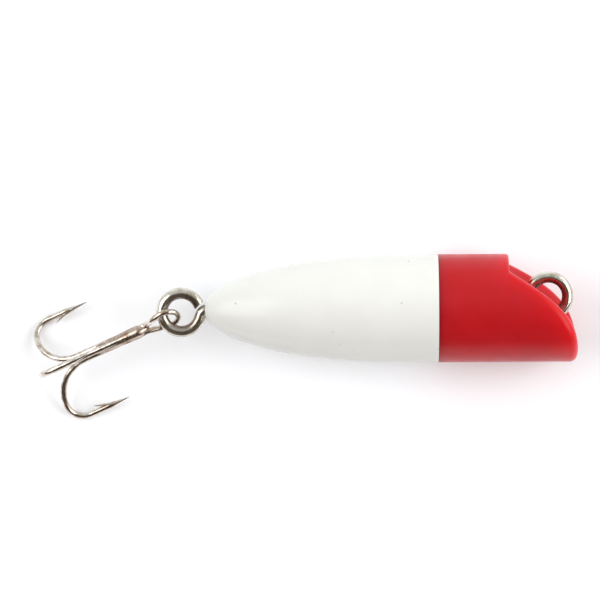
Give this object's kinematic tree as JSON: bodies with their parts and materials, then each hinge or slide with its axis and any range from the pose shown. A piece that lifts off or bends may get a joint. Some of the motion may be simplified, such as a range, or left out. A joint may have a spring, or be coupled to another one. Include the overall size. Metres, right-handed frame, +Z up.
{
  "type": "topwater popper lure",
  "caption": "Topwater popper with a white tapered body, a red scooped head, a line-tie screw eye in the face and a swinging treble hook on a screw eye at the tail.",
  "frame": {"origin": "on the table that the popper lies on, in the middle of the tail shell's parallel part, straight under the body's axis", "axes": "+X along the body to its nose, +Y to the side that the scooped face opens on, +Z up off the table"},
  "size_m": [0.0719, 0.0216, 0.0144],
  "materials": {
    "white_plastic": "glossy white",
    "red_plastic": "glossy red",
    "ballast_steel": "dull, turned",
    "eye_steel": "bright nickel plate, slightly worn",
    "hook_steel": "bronze-toned nickel plate",
    "braze": "flowed filler under the plating"
  },
  "bodies": {
    "lure_body": {"tail_shell": "white_plastic", "head": "red_plastic", "tail_ballast": "ballast_steel", "line_tie_eye": "eye_steel", "tail_eye": "eye_steel"},
    "treble": {"treble_double_hook": "hook_steel", "treble_single_hook": "hook_steel", "treble_braze": "braze"}
  },
  "joints": [
    {"name": "treble_swing", "type": "hinge", "parent": "lure_body", "child": "treble", "pos_m": [-0.0316, -0.00036, 0.00714], "axis": [0, -0.1305, 0.9914], "range_deg": [-140, 95]}
  ]
}
